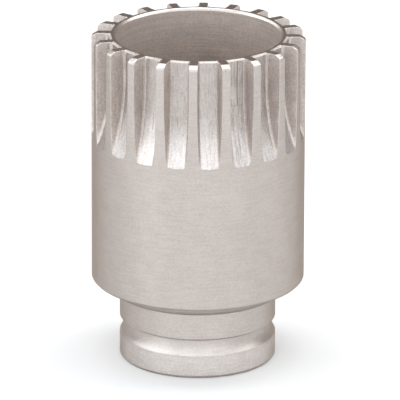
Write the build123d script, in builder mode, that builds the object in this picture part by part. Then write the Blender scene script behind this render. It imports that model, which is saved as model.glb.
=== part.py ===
# Bottom bracket tool: a one-piece splined socket.
# It is turned from steel bar, bored for the spindle, and milled with splines round one end.
# It stands on its drive end, with the splined end up. The origin is at the centre of the
# drive end's face, and +Z runs up the axis. All sizes are in millimetres.

import os
from math import asin, degrees, sqrt
from build123d import *

# Overall form
total_height = 50.6
body_diameter = 32.0
neck_diameter = 23.5
neck_height = 12.2

# Turned edges and corners
crown_chamfer_radial = 0.9
crown_chamfer_axial = 0.5
crown_edge_radius = 0.5
shoulder_chamfer = 0.4
foot_chamfer = 0.35

# Low rounded collar under the shoulder, between the body and the neck. Its bulge is how far
# its arc stands out from a straight slope
collar_height = 1.85
collar_bulge = 0.6

# Spindle bore, open at the splined end. A wall is left between it and the spline roots, and
# a web between its floor and the shoulder
bore_wall = 1.1
bore_web = 5.8
bore_chamfer = 0.35

# Retaining groove round the neck: square under its upper lip, then swept out in a long arc to
# the lower lip
ring_groove_top = 6.24
ring_groove_height = 2.62
ring_groove_depth = 0.72
ring_groove_sweep_radius = 4.0

# Milled splines: each groove has a flat floor, leaning flanks and broken floor corners, a
# small bevel where the floor meets the open end, and a run-out to the surface in the arc of
# the disc cutter that milled it
spline_count = 20
spline_depth = 2.55
spline_floor_width = 2.92
spline_opening_width = 3.76
spline_corner_width = 0.2
spline_corner_height = 0.3
spline_mouth_radial = 0.38
spline_mouth_axial = 0.2
spline_straight_length = 4.75
milling_cutter_radius = 26.0

# Square drive hole through the neck into the bore, with a recess in each wall for the
# ratchet's spring ball
drive_across_flats = 12.8
drive_corner_radius = 0.6
drive_countersink_diameter = 18.4
detent_height = 8.0
detent_ball_radius = 2.6
detent_depth = 0.9

# Sizes that follow from the ones above
body_radius = body_diameter / 2
neck_radius = neck_diameter / 2
collar_radius = (neck_radius + body_radius) / 2
collar_bottom = neck_height - collar_height
spline_root_radius = body_radius - spline_depth
bore_radius = spline_root_radius - bore_wall
bore_floor = neck_height + bore_web
drive_half_width = drive_across_flats / 2
straight_end = total_height - spline_straight_length

# The ring groove's arc leaves its straight root upright, and meets the neck's wall at the
# lower lip
ring_groove_root = neck_radius - ring_groove_depth
ring_groove_bottom = ring_groove_top - ring_groove_height
ring_arc_rise = sqrt(ring_groove_sweep_radius**2 - (ring_groove_sweep_radius - ring_groove_depth) ** 2)

# Half the turned section, from the axis outwards, with the crown's outer edge rounded. The
# collar reaches midway from the neck's wall to the body's
with BuildPart() as blank:
    with BuildSketch(Plane.XZ) as section:
        with BuildLine():
            Polyline(
                (0, 0),
                (neck_radius - foot_chamfer, 0),
                (neck_radius, foot_chamfer),
                (neck_radius, ring_groove_bottom),
            )
            RadiusArc(
                (neck_radius, ring_groove_bottom),
                (ring_groove_root, ring_groove_bottom + ring_arc_rise),
                ring_groove_sweep_radius,
            )
            Polyline(
                (ring_groove_root, ring_groove_bottom + ring_arc_rise),
                (ring_groove_root, ring_groove_top),
                (neck_radius, ring_groove_top),
                (neck_radius, collar_bottom),
            )
            SagittaArc((neck_radius, collar_bottom), (collar_radius, neck_height), -collar_bulge)
            Polyline(
                (collar_radius, neck_height),
                (body_radius - shoulder_chamfer, neck_height),
                (body_radius, neck_height + shoulder_chamfer),
                (body_radius, total_height - crown_chamfer_axial),
                (body_radius - crown_chamfer_radial, total_height),
                (bore_radius + bore_chamfer, total_height),
                (bore_radius, total_height - bore_chamfer),
                (bore_radius, bore_floor),
                (0, bore_floor),
                (0, 0),
            )
        make_face()
        crown_edge = section.vertices().sort_by_distance(
            (body_radius, total_height - crown_chamfer_axial)
        )[0]
        fillet(crown_edge, radius=crown_edge_radius)
    revolve(axis=Axis.Z)

# The path of the milling cutter through one groove. Its section is a trapezoid whose flanks
# keep their slope out past the body's surface. It runs straight down from the open end, then
# turns about the cutter's own axis until the floor has left the body.
cut_margin = 1.0
flank_slope = (spline_opening_width - spline_floor_width) / 2 / spline_depth
outer_half_width = spline_floor_width / 2 + flank_slope * (spline_depth + cut_margin)
corner_half_width = spline_floor_width / 2 + flank_slope * spline_corner_height
floor_half_width = spline_floor_width / 2 - spline_corner_width
run_out_angle = 2 * degrees(asin(sqrt((spline_depth + cut_margin) / (2 * milling_cutter_radius))))
cutter_axis = Axis((spline_root_radius + milling_cutter_radius, 0, straight_end), (0, -1, 0))

with BuildPart() as groove_cutter:
    with BuildSketch(Plane.XY.offset(straight_end)) as groove_section:
        with BuildLine():
            Polyline(
                (spline_root_radius, -floor_half_width),
                (spline_root_radius + spline_corner_height, -corner_half_width),
                (body_radius + cut_margin, -outer_half_width),
                (body_radius + cut_margin, outer_half_width),
                (spline_root_radius + spline_corner_height, corner_half_width),
                (spline_root_radius, floor_half_width),
                close=True,
            )
        make_face()
    extrude(amount=spline_straight_length + cut_margin)
    revolve(groove_section.sketch, axis=cutter_axis, revolution_arc=run_out_angle)
    with BuildSketch(Plane.XZ):
        with BuildLine():
            Polyline(
                (spline_root_radius, total_height - spline_mouth_axial),
                (spline_root_radius, total_height),
                (spline_root_radius - spline_mouth_radial, total_height),
                close=True,
            )
        make_face()
    extrude(amount=spline_floor_width / 2, both=True)

with BuildPart() as splined_socket:
    add(blank.part)
    with PolarLocations(0, spline_count):
        add(groove_cutter.part, mode=Mode.SUBTRACT)

    # Square drive hole, with a lead-in cone at its mouth
    with BuildSketch(Plane.XY) as drive_section:
        Rectangle(drive_across_flats, drive_across_flats)
        fillet(drive_section.vertices(), radius=drive_corner_radius)
    extrude(amount=bore_floor, mode=Mode.SUBTRACT)
    with BuildSketch(Plane.XZ):
        with BuildLine():
            Polyline(
                (0, 0),
                (drive_countersink_diameter / 2, 0),
                (0, drive_countersink_diameter / 2),
                close=True,
            )
        make_face()
    revolve(axis=Axis.Z, mode=Mode.SUBTRACT)

    # Ball recesses in the four walls of the drive, each ball with its seam turned inwards
    with Locations(Plane.XY.offset(detent_height)):
        with PolarLocations(drive_half_width + detent_depth - detent_ball_radius, 4):
            Sphere(detent_ball_radius, rotation=(0, 0, 180), mode=Mode.SUBTRACT)

splined_socket.part.label = "splined_socket"
os.makedirs("parts", exist_ok=True)
export_step(splined_socket.part, "parts/splined_socket.step")
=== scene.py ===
# %% [markdown]
# # A bottom bracket tool in satin metal
# This tool is one piece of steel. It was turned on a lathe, milled with twenty splines round
# one end, blasted with fine grit and plated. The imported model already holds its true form,
# so this lesson is about edges, finish and light: what makes a plain grey solid look machined.

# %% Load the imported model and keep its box
import math

import bpy
from mathutils import Matrix, Vector


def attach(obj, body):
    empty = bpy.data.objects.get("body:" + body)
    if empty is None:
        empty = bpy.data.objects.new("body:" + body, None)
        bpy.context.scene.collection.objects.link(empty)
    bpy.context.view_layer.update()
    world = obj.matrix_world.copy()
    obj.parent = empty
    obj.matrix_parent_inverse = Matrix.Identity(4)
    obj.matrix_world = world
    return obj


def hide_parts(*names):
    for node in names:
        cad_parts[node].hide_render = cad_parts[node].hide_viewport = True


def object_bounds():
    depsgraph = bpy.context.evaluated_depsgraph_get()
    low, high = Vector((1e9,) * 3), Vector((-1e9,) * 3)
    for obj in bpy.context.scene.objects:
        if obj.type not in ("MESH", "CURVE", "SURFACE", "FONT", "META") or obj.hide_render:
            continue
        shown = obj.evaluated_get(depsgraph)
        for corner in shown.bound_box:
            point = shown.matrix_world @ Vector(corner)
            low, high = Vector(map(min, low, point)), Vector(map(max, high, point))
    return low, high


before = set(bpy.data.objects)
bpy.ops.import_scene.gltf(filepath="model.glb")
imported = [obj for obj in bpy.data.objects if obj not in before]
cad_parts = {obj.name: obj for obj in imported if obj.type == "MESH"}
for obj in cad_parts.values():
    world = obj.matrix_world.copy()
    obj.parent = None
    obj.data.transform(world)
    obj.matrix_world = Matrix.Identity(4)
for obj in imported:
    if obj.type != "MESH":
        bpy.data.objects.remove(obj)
cad_low, cad_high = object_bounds()
MM = 0.001
print("box in millimetres:", [round(v / MM, 2) for v in cad_high - cad_low])

# %% [markdown]
# ## Camera
# The photograph was taken with a long lens from a little above the rim. A camera could be
# placed by eye, but then every other choice is judged against the wrong outline. So it was
# fitted to the outlines of the rim, the shoulder and the foot. It looks at the tool from a
# bearing where one tooth stands almost in front. The tiny turn and roll bring the tool as far
# left, and as far off upright, as it is in the photograph.

# %% Place the camera
CAMERA_AZIMUTH = math.radians(-6.15)
CAMERA_DISTANCE = 1.0544
CAMERA_HEIGHT = 0.3969
CAMERA_PITCH = math.radians(19.463)
CAMERA_TURN = math.radians(0.0168)
CAMERA_ROLL = math.radians(0.225)
SENSOR_WIDTH_MM = 36.0
IMAGE_SIZE = 400
FOCAL_PIXELS = 7439.7


def place_camera():
    """A long lens, its sensor width matched to the square image."""
    lens = bpy.data.cameras.new("view")
    lens.sensor_width = SENSOR_WIDTH_MM
    lens.lens = FOCAL_PIXELS / IMAGE_SIZE * SENSOR_WIDTH_MM
    lens.clip_end = 10.0
    camera = bpy.data.objects.new("view", lens)
    bpy.context.scene.collection.objects.link(camera)
    bearing = Matrix.Rotation(CAMERA_AZIMUTH, 4, "Z")
    stand = Matrix.Translation((0, -CAMERA_DISTANCE, CAMERA_HEIGHT))
    turn = Matrix.Rotation(-CAMERA_TURN, 4, "Z")
    tip = Matrix.Rotation(math.pi / 2 - CAMERA_PITCH, 4, "X")
    roll = Matrix.Rotation(CAMERA_ROLL, 4, "Z")
    camera.matrix_world = bearing @ stand @ turn @ tip @ roll
    bpy.context.scene.camera = camera
    return camera


camera = place_camera()
print("lens in millimetres:", round(camera.data.lens, 1))

# %% [markdown]
# ## The steel body, with its edges broken
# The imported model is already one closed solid, but its edges are perfectly sharp, and no
# machined edge is. Sharp edges catch no light, which is what makes a model look like a model.
# Modelling the tool again would only lose the exact splines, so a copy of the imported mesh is
# merged into one skin, its flat facets are joined, and its edges get a fine bevel.

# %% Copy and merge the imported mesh
MERGE_DISTANCE = 0.04 * MM
FLAT_ANGLE = math.radians(0.2)


def merged_copy(node, name):
    """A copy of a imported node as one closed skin, with its flat facets joined."""
    piece = node.copy()
    piece.data = node.data.copy()
    piece.name = piece.data.name = name
    bpy.context.scene.collection.objects.link(piece)
    bpy.ops.object.select_all(action="DESELECT")
    bpy.context.view_layer.objects.active = piece
    piece.select_set(True)
    bpy.ops.mesh.customdata_custom_splitnormals_clear()
    bpy.ops.object.mode_set(mode="EDIT")
    bpy.ops.mesh.select_all(action="SELECT")
    bpy.ops.mesh.remove_doubles(threshold=MERGE_DISTANCE)
    bpy.ops.mesh.dissolve_limited(angle_limit=FLAT_ANGLE)
    bpy.ops.object.mode_set(mode="OBJECT")
    return piece


socket = merged_copy(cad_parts["splined_socket"], "machined_socket")
print("faces after merging:", len(socket.data.polygons))

# %% [markdown]
# ## One finish for each machining step
# A lathe, a milling cutter and a boring bar each leave their own marks, and the photograph
# shows them all. One finish could cover the whole tool, but then it would look cast. So the
# faces are sorted by where they lie and which way they look, and each kind gets a finish of
# its own. There are thousands of them, so they are picked in code and not by hand.

# %% Sort the faces by how they were cut
BODY_RADIUS = max(v.co.x for v in socket.data.vertices)
TOP = cad_high.z
BORE_WALL_RADIUS = 12.35 * MM
BORE_FLOOR = 18.0 * MM
SPLINE_ROOT_RADIUS = 13.45 * MM
SPLINE_FOOT = 34.0 * MM
SPLINE_PITCH = 2 * math.pi / 20
MOUTH_RADIUS = 12.8 * MM
MOUTH_HEIGHT = 0.3 * MM
FACET_SLACK = 0.03 * MM
ROOT_SLACK = 0.09 * MM
FLOOR_SLACK = 0.1 * MM
# Shares of a face's normal that point up, towards the axis or to a groove's side
LEVEL = 0.99
UPRIGHT = 0.9
TIPPED = 0.6
SIDEWAYS = 0.5
FINISHES = ("turned_steel", "faced_steel", "milled_floor", "milled_flank", "bored_steel")


def way_it_was_cut(face):
    """The finish of one face, from its place and its normal."""
    place, normal = face.center, face.normal
    radius = math.hypot(place.x, place.y)
    outward = (place.x * normal.x + place.y * normal.y) / radius if radius > MM else 0.0
    in_bore = radius < BORE_WALL_RADIUS + FACET_SLACK and place.z > BORE_FLOOR - FLOOR_SLACK
    if in_bore and (outward < -UPRIGHT or place.z < BORE_FLOOR + FLOOR_SLACK):
        return "bored_steel"
    if normal.z > LEVEL and place.z > TOP - FACET_SLACK:
        return "faced_steel"
    if place.z > TOP - MOUTH_HEIGHT and MOUTH_RADIUS < radius < SPLINE_ROOT_RADIUS:
        return "milled_flank"
    below_skin = SPLINE_ROOT_RADIUS - ROOT_SLACK < radius < BODY_RADIUS - FACET_SLACK
    if place.z > SPLINE_FOOT and below_skin and abs(normal.z) < TIPPED:
        middle = round(math.atan2(place.y, place.x) / SPLINE_PITCH) * SPLINE_PITCH
        sideways = -normal.x * math.sin(middle) + normal.y * math.cos(middle)
        return "milled_flank" if abs(sideways) > SIDEWAYS else "milled_floor"
    return "turned_steel"


cuts = [way_it_was_cut(face) for face in socket.data.polygons]
print("faces of each cut:", {name: cuts.count(name) for name in FINISHES})

# %% [markdown]
# ## Broken edges
# A machinist breaks every edge, so that it doesn't cut the hand. On a tool of this size that
# leaves a rounded line about a tenth of a millimetre wide, and it catches the light wherever
# a lamp finds it. A bevel node in the shader could fake such a line, but the outline would
# stay sharp, so a Bevel modifier makes it real. The weighted normals after it keep the wide
# faces flat in the shading, so that only the bevel itself looks round.

# %% Break the edges and hand the socket over
EDGE_BREAK = 0.09 * MM
EDGE_ANGLE = math.radians(24)
EDGE_SEGMENTS = 2


def break_edges(piece):
    """A narrow rounded bevel along every real edge, with the wide faces left flat in shade."""
    bevel = piece.modifiers.new("edges", "BEVEL")
    bevel.width = EDGE_BREAK
    bevel.segments = EDGE_SEGMENTS
    bevel.limit_method = "ANGLE"
    bevel.angle_limit = EDGE_ANGLE
    bevel.use_clamp_overlap = False
    bpy.ops.object.modifier_apply(modifier=bevel.name)
    bpy.ops.object.shade_smooth()
    shading = piece.modifiers.new("shading", "WEIGHTED_NORMAL")
    shading.mode = "FACE_AREA"
    bpy.ops.object.modifier_apply(modifier=shading.name)


socket.data.materials.clear()
for finish in FINISHES:
    socket.data.materials.append(None)
for face, cut in zip(socket.data.polygons, cuts):
    face.material_index = FINISHES.index(cut)
break_edges(socket)
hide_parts("splined_socket")
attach(socket, "root")
print("triangles:", sum(len(face.vertices) - 2 for face in socket.data.polygons))

# %% [markdown]
# ## Shader helpers
# Each finish below is a small net of nodes. It could be drawn by hand in the shader editor,
# but five nearly equal nets would soon drift apart. These helpers keep a line of the net to a
# line of code: one adds a node and fills its sockets, one does a sum, and one turns a noise
# into a value between two limits.

# %% Node helpers
def new_material(name):
    """An empty node material with its output."""
    material = bpy.data.materials.new(name)
    material.use_nodes = True
    tree = material.node_tree
    tree.nodes.clear()
    return material, tree, tree.nodes.new("ShaderNodeOutputMaterial")


def fill(tree, entry, value):
    """Links a node's input to another node, or sets its number or colour."""
    if isinstance(value, bpy.types.NodeSocket):
        tree.links.new(value, entry)
    else:
        entry.default_value = value


def maths(tree, operation, *values):
    """One step of arithmetic."""
    node = tree.nodes.new("ShaderNodeMath")
    node.operation = operation
    for entry, value in zip(node.inputs, values):
        fill(tree, entry, value)
    return node.outputs[0]


def fold(tree, operation, first, *others):
    """The same arithmetic over several values, two at a time."""
    total = first
    for value in others:
        total = maths(tree, operation, total, value)
    return total


def ramp(tree, value, low, high, to_low=0.0, to_high=1.0):
    """Runs smoothly from one number to another while value goes from low to high."""
    node = tree.nodes.new("ShaderNodeMapRange")
    node.interpolation_type = "SMOOTHSTEP"
    for entry, number in zip(node.inputs, (value, low, high, to_low, to_high)):
        fill(tree, entry, number)
    return node.outputs["Result"]


def noise(tree, place, stretch, scale=1.0, detail=2.0, roughness=0.5):
    """A noise, stretched along the three directions of place."""
    mapping = tree.nodes.new("ShaderNodeMapping")
    tree.links.new(place, mapping.inputs["Vector"])
    mapping.inputs["Scale"].default_value = stretch
    node = tree.nodes.new("ShaderNodeTexNoise")
    tree.links.new(mapping.outputs["Vector"], node.inputs["Vector"])
    node.inputs["Scale"].default_value = scale
    node.inputs["Detail"].default_value = detail
    node.inputs["Roughness"].default_value = roughness
    return node.outputs["Fac"]


def blend_colours(tree, share, first, second):
    """A mix of two colours, or of two nodes that give colours."""
    node = tree.nodes.new("ShaderNodeMix")
    node.data_type = "RGBA"
    fill(tree, node.inputs["Factor"], share)
    fill(tree, node.inputs["A"], first)
    fill(tree, node.inputs["B"], second)
    return node.outputs["Result"]


# %% [markdown]
# ## Machined steel under thin plating
# All the finishes are the same warm grey plating, so they share one net of nodes. What
# differs is the direction of the tool marks: round the tool on turned, faced and bored faces,
# and along it on milled ones. The marks are a noise that is stretched along the cut, and the
# gloss spreads across them. Fine grit blasting lies over all of them as a small grain.

# %% Coordinates for tool marks
HALF_PITCH = SPLINE_PITCH / 2
CORE_SHARE = 0.45


def length(tree, across, up):
    """The straight distance that two steps at right angles make."""
    squares = maths(tree, "MULTIPLY", across, across), maths(tree, "MULTIPLY", up, up)
    return maths(tree, "SQRT", maths(tree, "ADD", *squares))


def tool_coordinates(tree):
    """The object's place, then the angle round the axis, the way out from it and the height."""
    place = tree.nodes.new("ShaderNodeTexCoord").outputs["Object"]
    turned = tree.nodes.new("ShaderNodeMapping")
    turned.inputs["Rotation"].default_value = (0, 0, HALF_PITCH)
    tree.links.new(place, turned.inputs["Vector"])
    apart = tree.nodes.new("ShaderNodeSeparateXYZ")
    tree.links.new(turned.outputs["Vector"], apart.inputs[0])
    x, y, height = apart.outputs
    return place, maths(tree, "ARCTAN2", y, x), length(tree, x, y), height


def tool_angle(degrees):
    """An angle as tool_coordinates gives it: half a pitch on, so that its seam is on a tooth."""
    return math.radians(degrees) + HALF_PITCH


def join(tree, *values):
    """Three values as one vector."""
    node = tree.nodes.new("ShaderNodeCombineXYZ")
    for entry, value in zip(node.inputs, values):
        fill(tree, entry, value)
    return node.outputs[0]


def near(tree, value, middle, reach):
    """One where value is within about half of reach from the middle, and none beyond it."""
    away = maths(tree, "ABSOLUTE", maths(tree, "SUBTRACT", value, middle))
    return ramp(tree, away, reach * CORE_SHARE, reach, 1.0, 0.0)


print("half a pitch, in degrees:", round(math.degrees(HALF_PITCH), 1))

# %% [markdown]
# ## Single accidents, and painted shade and reflection
# No used tool is evenly clean, and a surface without one flaw looks like plastic. Here a few
# teeth have a nick or a smudge. Beside these real marks, rings of painted shade lie under the
# shoulder, under the groove's upper lip and along the foot's chamfer, painted shade darkens
# one side of the tool, and a painted dark reflection lies on the far wall of the bore. All of
# it could be painted in a picture, but soft spots and rings that are placed by angle and
# height stay fine at any distance, and need no file.

# %% Nicks, smudges and a painted reflection
# Each has an angle in degrees, a height and a size in millimetres, and a darkness
RIM_NICK = (-81.6, 49.95, 0.22, 0.9)
EDGE_NICK = (-40.6, 40.25, 0.5, 0.85)
UPPER_SMUDGE = (-159.9, 36.8, 0.45, 0.5)
LOWER_SMUDGE = (-157.3, 35.3, 0.5, 0.45)
# A painted dark reflection on the far wall of the bore
BORE_PAINTED_REFLECTION = (75.8, 42.2, 3.6, 0.16)
STAINS_AND_PAINTED_REFLECTION = {
    "turned_steel": (RIM_NICK, EDGE_NICK, UPPER_SMUDGE, LOWER_SMUDGE),
    "milled_flank": (EDGE_NICK, UPPER_SMUDGE, LOWER_SMUDGE),
    "bored_steel": (BORE_PAINTED_REFLECTION,),
}
SPOT_CORE_SHARE = 0.2


def stains_and_painted_reflection(tree, angle, height, spots):
    """Darkness in round spots: real nicks and smudges, and a painted dark reflection in the
    bore.
    """
    total = 0.0
    for degrees, level, size, dark in spots:
        turn = maths(tree, "SUBTRACT", angle, tool_angle(degrees))
        across = maths(tree, "MULTIPLY", turn, BODY_RADIUS)
        up = maths(tree, "SUBTRACT", height, level * MM)
        reach = size * MM
        spot = ramp(tree, length(tree, across, up), reach * SPOT_CORE_SHARE, reach, dark, 0.0)
        total = maths(tree, "MAXIMUM", spot, total)
    return total


print("nicks and smudges:", {name: len(spots) for name, spots in STAINS_AND_PAINTED_REFLECTION.items()})

# %% Painted shade in rings and down one side
# Each ring of painted shade has a height and a reach in millimetres, and a darkness
# Painted shade under the shoulder, under the groove's upper lip and along the foot's chamfer
SHADE_UNDER_SHOULDER = (11.35, 1.25, 0.2)
SHADE_UNDER_GROOVE_LIP = (5.95, 0.2, 0.5)
SHADE_ON_FOOT_CHAMFER = (0.28, 0.27, 0.4)
PAINTED_SHADE_RINGS = (SHADE_UNDER_SHOULDER, SHADE_UNDER_GROOVE_LIP, SHADE_ON_FOOT_CHAMFER)
# Painted shade down one side of the tool
SHADED_SIDE = tool_angle(-151)
SHADED_SIDE_REACH = math.radians(34)
SHADED_SIDE_DARK = 0.13


def painted_shade(tree, height):
    """Painted shade in rings."""
    total = 0.0
    for level, reach, strength in PAINTED_SHADE_RINGS:
        ring = near(tree, height, level * MM, reach * MM)
        total = maths(tree, "MAXIMUM", maths(tree, "MULTIPLY", ring, strength), total)
    return total


def painted_side_shade(tree, angle):
    """Painted shade down one side of the tool."""
    return maths(tree, "MULTIPLY", near(tree, angle, SHADED_SIDE, SHADED_SIDE_REACH), SHADED_SIDE_DARK)


print("rings of grime:", len(PAINTED_SHADE_RINGS))

# %% One coarse groove
# One groove has coarse streaks, a deep scratch and a step, such as a chipped cutter leaves
COARSE_GROOVE = tool_angle(-72)
COARSE_REACH = math.radians(8)
COARSE_MARKS = (48, 1, 260)
COARSE_LIMITS = (0.36, 0.54)
COARSE_DARK = 0.42
STEP_HEIGHT = 43.5 * MM
STEP_REACH = 0.12 * MM
STEP_DARK = 0.3
SCRATCH_OFFSET = math.radians(1.0)
SCRATCH_REACH = math.radians(0.45)
SCRATCH_FADE = 0.1 * MM
SCRATCH_DARK = 0.9


def coarse_cut(tree, angle, height):
    """Darkness in the coarse groove: streaks, one long scratch and the step where it ends."""
    inside = near(tree, angle, COARSE_GROOVE, COARSE_REACH)
    marks = noise(tree, join(tree, angle, 0.0, height), COARSE_MARKS, roughness=0.6)
    streaks = ramp(tree, marks, *COARSE_LIMITS, COARSE_DARK, 0.0)
    step = maths(tree, "MULTIPLY", near(tree, height, STEP_HEIGHT, STEP_REACH), STEP_DARK)
    line = near(tree, angle, COARSE_GROOVE + SCRATCH_OFFSET, SCRATCH_REACH)
    above = ramp(tree, height, STEP_HEIGHT, STEP_HEIGHT + SCRATCH_FADE, 0.0, SCRATCH_DARK)
    scratch = maths(tree, "MULTIPLY", line, above)
    return maths(tree, "MULTIPLY", fold(tree, "MAXIMUM", streaks, step, scratch), inside)


print("step in the coarse groove, in millimetres:", round(STEP_HEIGHT / MM, 1))

# %% [markdown]
# ## Worn places, and a painted highlight on the run-outs
# Plating isn't the same colour all over. The foot and the rim rub on whatever the tool meets
# and are paler. The run-outs, where the cutter left the steel at a slant, tip up to the lamps
# and are the brightest milled faces, and a paler colour on them adds a painted highlight. Each
# could be a finish of its own, but then a hard line would show where it ends, so one colour
# runs into the other over a short height.

# %% Colours of the plating
PLATE = (0.543, 0.502, 0.471, 1.0)
PLATE_DARK = (0.45, 0.40, 0.37, 1.0)
RUBBED_PLATE = (0.765, 0.712, 0.683, 1.0)
RUBBED_DARK = (0.60, 0.552, 0.525, 1.0)
# A paler colour on the run-outs, a painted highlight where they tip up to the lamps
RUN_OUT_HIGHLIGHT_PLATE = (0.645, 0.617, 0.606, 1.0)
RUN_OUT_BRIGHTEST = 35.5 * MM
RUN_OUT_PLAIN = 42.0 * MM
CROWN_RUBBED_FROM = 49.9 * MM
CROWN_RUBBED_TO = 50.25 * MM
FOOT_RUBBED_TO = 2.8 * MM
NECK_RUBBED_FROM = 4.8 * MM
NECK_SHARE = 0.18
SHOULDER_HEIGHT = 12.1 * MM
SHOULDER_FADE = 0.4 * MM


def plating(tree, name, light, height):
    """The light and the dark colour of a finish, with its worn places and the painted highlight
    on the run-outs.
    """
    if name == "turned_steel":
        foot = ramp(tree, height, FOOT_RUBBED_TO, NECK_RUBBED_FROM, 1.0, NECK_SHARE)
        below = ramp(tree, height, SHOULDER_HEIGHT, SHOULDER_HEIGHT + SHOULDER_FADE, 1.0, 0.0)
        crown = ramp(tree, height, CROWN_RUBBED_FROM, CROWN_RUBBED_TO)
        rubbed = maths(tree, "MAXIMUM", maths(tree, "MULTIPLY", foot, below), crown)
        rubbed_light = blend_colours(tree, rubbed, light, RUBBED_PLATE)
        return rubbed_light, blend_colours(tree, rubbed, PLATE_DARK, RUBBED_DARK)
    if name == "milled_floor":
        # Painted highlight: the lower run-out takes the paler colour
        above = ramp(tree, height, RUN_OUT_BRIGHTEST, RUN_OUT_PLAIN)
        return blend_colours(tree, above, RUN_OUT_HIGHLIGHT_PLATE, light), PLATE_DARK
    return light, PLATE_DARK


# %% Flecks, dirt and painted shade of each finish
FLECK_MARKS = (3600, 100, 700)
FLECK_LIMITS = (0.62, 0.72)
FLECK_DARK = 0.4
RUN_OUT_FLECKS = 0.15


def flecks(tree, wrapped, height):
    """Small dark tears along a milled floor, fewer on its run-out."""
    marks = noise(tree, wrapped, FLECK_MARKS, detail=1.0)
    tears = ramp(tree, marks, *FLECK_LIMITS, 0.0, FLECK_DARK)
    fewer = ramp(tree, height, RUN_OUT_BRIGHTEST, RUN_OUT_PLAIN, RUN_OUT_FLECKS, 1.0)
    return maths(tree, "MULTIPLY", tears, fewer)


def dirt_and_painted_shade(tree, name, wrapped, angle, height):
    """How much of the dark colour covers a finish: real dirt and marks, and painted shade and a
    painted reflection.
    """
    if name == "milled_floor":
        coarse = coarse_cut(tree, angle, height)
        return maths(tree, "MAXIMUM", flecks(tree, wrapped, height), coarse)
    spots = stains_and_painted_reflection(tree, angle, height, STAINS_AND_PAINTED_REFLECTION.get(name, ()))
    if name == "turned_steel":
        return fold(tree, "MAXIMUM", spots, painted_side_shade(tree, angle), painted_shade(tree, height))
    return spots


# %% [markdown]
# ## The plated finish
# Under the plating lie the tool marks, and over them the fine grain of the blasting. A single
# grey with one roughness could stand in for both, but it would look like painted clay. So the
# marks and the grain both change the colour and raise the surface a little, and the metal's
# gloss is stretched across the marks, as on brushed metal.

# %% The plated finish
# The dark colour of real stains and marks, and of the painted shade and painted reflection
STAIN_AND_SHADE = (0.16, 0.13, 0.115, 1.0)
EDGE_TINT = (0.47, 0.42, 0.38, 1.0)
EVENLY = (1, 1, 1)
MARK_LIMITS = (0.35, 0.65)
GRAIN_PER_METRE = 3600
GRAIN_LIMITS = (0.3, 0.7)
GRAIN_DARK = 0.6
GRAIN_ROUGHNESS = 0.05
BLOTCH_PER_METRE = 420
BLOTCH_LIMITS = (0.35, 0.7)
BLOTCH_DARK = 0.18
MARK_RELIEF = 2.0
RELIEF_HEIGHT = 0.02 * MM
RELIEF_STRENGTH = 0.6
QUARTER_TURN = 0.25


def brushed_metal(tree, output, metallic, spread, turn):
    """A metal whose gloss is stretched round the axis, or along it after a quarter turn."""
    shader = tree.nodes.new("ShaderNodeBsdfPrincipled")
    tree.links.new(shader.outputs["BSDF"], output.inputs["Surface"])
    shader.inputs["Metallic"].default_value = metallic
    shader.inputs["Specular Tint"].default_value = EDGE_TINT
    shader.inputs["Anisotropic"].default_value = spread
    shader.inputs["Anisotropic Rotation"].default_value = turn
    tangent = tree.nodes.new("ShaderNodeTangent")
    tangent.direction_type = "RADIAL"
    tangent.axis = "Z"
    tree.links.new(tangent.outputs[0], shader.inputs["Tangent"])
    return shader


def raise_surface(tree, shader, relief):
    """A fine relief on the shader's normal."""
    bump = tree.nodes.new("ShaderNodeBump")
    bump.inputs["Distance"].default_value = RELIEF_HEIGHT
    bump.inputs["Strength"].default_value = RELIEF_STRENGTH
    tree.links.new(relief, bump.inputs["Height"])
    tree.links.new(bump.outputs["Normal"], shader.inputs["Normal"])


def plated_steel(name, marks, depth, rough, spread=0.0, turn=0.0, metallic=1.0, light=PLATE):
    """Plating over tool marks. Marks gives the noise's scale round, out and up, per metre."""
    material, tree, output = new_material(name)
    shader = brushed_metal(tree, output, metallic, spread, turn)
    place, angle, radius, height = tool_coordinates(tree)
    wrapped = join(tree, maths(tree, "MULTIPLY", angle, BODY_RADIUS), radius, height)
    streak = noise(tree, wrapped, marks, detail=3.0, roughness=0.6)
    grain = noise(tree, place, EVENLY, GRAIN_PER_METRE)
    blotch = noise(tree, place, EVENLY, BLOTCH_PER_METRE, detail=3.0)
    darker = (
        ramp(tree, streak, *MARK_LIMITS, depth, 0.0),
        ramp(tree, grain, *GRAIN_LIMITS, GRAIN_DARK, 0.0),
        ramp(tree, blotch, *BLOTCH_LIMITS, BLOTCH_DARK, 0.0),
    )
    plated = blend_colours(tree, fold(tree, "ADD", *darker), *plating(tree, name, light, height))
    soiled_and_shaded = blend_colours(tree, dirt_and_painted_shade(tree, name, wrapped, angle, height), plated, STAIN_AND_SHADE)
    fill(tree, shader.inputs["Base Color"], soiled_and_shaded)
    swing = ramp(tree, grain, *GRAIN_LIMITS, -GRAIN_ROUGHNESS, GRAIN_ROUGHNESS)
    fill(tree, shader.inputs["Roughness"], maths(tree, "ADD", swing, rough))
    grooves = maths(tree, "MULTIPLY", streak, depth * MARK_RELIEF)
    raise_surface(tree, shader, maths(tree, "ADD", grain, grooves))
    return material


# %% Give each cut its finish
TURNED_MARKS = (260, 260, 3400)
FACED_MARKS = (60, 4000, 60)
MILLED_MARKS = (3300, 100, 420)
FLANK_MARKS = (100, 3000, 300)
BORED_MARKS = (60, 60, 5200)
FACED_PLATE = (0.52, 0.465, 0.43, 1.0)
MILLED_PLATE = (0.595, 0.567, 0.553, 1.0)
FLANK_PLATE = (0.685, 0.61, 0.56, 1.0)
BORE_PLATE = (0.65, 0.55, 0.485, 1.0)
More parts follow.
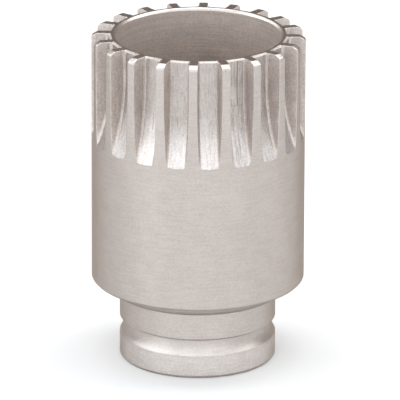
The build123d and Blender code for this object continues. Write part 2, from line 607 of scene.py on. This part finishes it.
# Faces that mirror each other turn too dark as pure metal
PARTLY_METAL = 0.6
finishes = (
    plated_steel("turned_steel", TURNED_MARKS, 0.32, 0.42, spread=0.5, turn=QUARTER_TURN),
    plated_steel("faced_steel", FACED_MARKS, 0.15, 0.36, light=FACED_PLATE),
    plated_steel("milled_floor", MILLED_MARKS, 0.45, 0.40, spread=0.5, light=MILLED_PLATE),
    plated_steel("milled_flank", FLANK_MARKS, 0.3, 0.45, 0.3, 0.0, PARTLY_METAL, FLANK_PLATE),
    plated_steel("bored_steel", BORED_MARKS, 0.35, 0.55, 0.0, 0.0, PARTLY_METAL, BORE_PLATE),
)
for index, finish in enumerate(finishes):
    socket.data.materials[index] = finish
print("finishes:", [finish.name for finish in finishes])

# %% [markdown]
# ## Floor and light
# Satin metal is little more than a picture of what stands round it, so the floor and the
# lamps do most of the work. One even sky could light the tool, but then every face would have
# the same tone. Here the upright walls mirror the floor, and the run-outs of the grooves tip
# up and mirror the lamps low on the left, which is why they shine. A soft lamp overhead
# lights the chamfers and throws the shade that lies close round the foot. Two lamps behind
# keep that shade from spreading to the sides.

# %% Lay the floor
FLOOR_SIZE = 6.0
PAPER = (0.75, 0.747, 0.744, 1.0)
WHITE = (1.0, 1.0, 1.0, 1.0)
GLOW_FROM = 0.1
GLOW_TO = 1.2
GLOW_NEAR = 0.06
GLOW_FAR = 0.80


def pale_floor():
    """White paper that keeps the tool's shadow, and glows a little where the lamps fall off."""
    bpy.ops.mesh.primitive_plane_add(size=FLOOR_SIZE, location=(0, 0, 0))
    floor = bpy.context.object
    floor.name = "floor"
    material, tree, output = new_material("paper")
    place = tree.nodes.new("ShaderNodeTexCoord").outputs["Object"]
    distance = tree.nodes.new("ShaderNodeVectorMath")
    distance.operation = "LENGTH"
    tree.links.new(place, distance.inputs[0])
    paper = tree.nodes.new("ShaderNodeBsdfDiffuse")
    paper.inputs["Color"].default_value = PAPER
    glow = tree.nodes.new("ShaderNodeEmission")
    glow.inputs["Color"].default_value = WHITE
    strength = ramp(tree, distance.outputs["Value"], GLOW_FROM, GLOW_TO, GLOW_NEAR, GLOW_FAR)
    fill(tree, glow.inputs["Strength"], strength)
    both = tree.nodes.new("ShaderNodeAddShader")
    tree.links.new(paper.outputs[0], both.inputs[0])
    tree.links.new(glow.outputs[0], both.inputs[1])
    tree.links.new(both.outputs[0], output.inputs["Surface"])
    floor.data.materials.append(material)
    return floor


bpy.ops.object.select_all(action="DESELECT")
floor = pale_floor()
print("floor, in metres:", [round(side, 1) for side in floor.dimensions])

# %% Hang the lamps
LAMP_TARGET = Vector((0, 0, 0.03))
LAMP_DISTANCE = 0.5
DAYLIGHT = (0.965, 1.0, 1.025)
COOL_LIGHT = (0.93, 1.0, 1.06)
TALL = 1.4


def softbox(name, azimuth, elevation, size, radiance, tall=1.0, colour=COOL_LIGHT):
    """A lamp aimed at the tool. Azimuth 0 is the camera's side, and positive is right."""
    lamp = bpy.data.lights.new(name, "AREA")
    lamp.shape = "RECTANGLE"
    lamp.size = size
    lamp.size_y = size * tall
    lamp.energy = radiance * math.pi * size * size * tall
    lamp.color = colour
    turn = math.radians(azimuth) + CAMERA_AZIMUTH
    rise = math.radians(elevation)
    level = math.cos(rise)
    away = Vector((math.sin(turn) * level, -math.cos(turn) * level, math.sin(rise)))
    holder = bpy.data.objects.new(name, lamp)
    holder.location = LAMP_TARGET + away * LAMP_DISTANCE
    holder.rotation_euler = away.to_track_quat("Z", "Y").to_euler()
    bpy.context.scene.collection.objects.link(holder)
    return holder


lamps = (
    softbox("overhead", 180, 81, 0.34, 3.7, colour=DAYLIGHT),
    softbox("behind_left", -112, 50, 0.30, 1.8, colour=DAYLIGHT),
    softbox("behind_right", 110, 50, 0.30, 3.3, colour=DAYLIGHT),
    softbox("front", 0, 27, 0.30, 1.7, TALL),
    softbox("front_left", -30, 25, 0.26, 1.6, TALL),
    softbox("left", -64, 21, 0.36, 2.35),
    softbox("far_left", -100, 27, 0.22, 2.5),
    softbox("left_edge", -134, 24, 0.16, 3.2),
    softbox("front_right", 34, 21, 0.32, 1.8),
    softbox("right", 78, 27, 0.36, 1.5),
)
print("lamps:", [lamp.name for lamp in lamps])

# %% [markdown]
# ## The room and the background
# A studio has walls, and metal shows them: without a room, every face that mirrors no lamp
# would turn black. The photograph's background is plain white, though. A white room would
# wash out the metal, and a scene has only one world. So the camera sees white in it, and
# everything else sees a dim warm room.

# %% Paint the room
ROOM_COLOUR = (0.26, 0.22, 0.19, 1.0)


def room():
    """A dim warm room in reflections, and plain white behind the tool for the camera."""
    world = bpy.data.worlds.new("room")
    world.use_nodes = True
    bpy.context.scene.world = world
    tree = world.node_tree
    seen = tree.nodes.new("ShaderNodeLightPath").outputs["Is Camera Ray"]
    paint = blend_colours(tree, seen, ROOM_COLOUR, WHITE)
    fill(tree, tree.nodes["Background"].inputs["Color"], paint)
    return world


print("world:", room().name)

# %% [markdown]
# ## Colour management
# The default view transform bends bright tones to look like film, which would turn the white
# paper grey and wash out the metal. The photograph was made to be shown as it is, so the plain
# Standard transform is used.

# %% Colour management
bpy.context.scene.view_settings.view_transform = "Standard"
print("view transform:", bpy.context.scene.view_settings.view_transform)
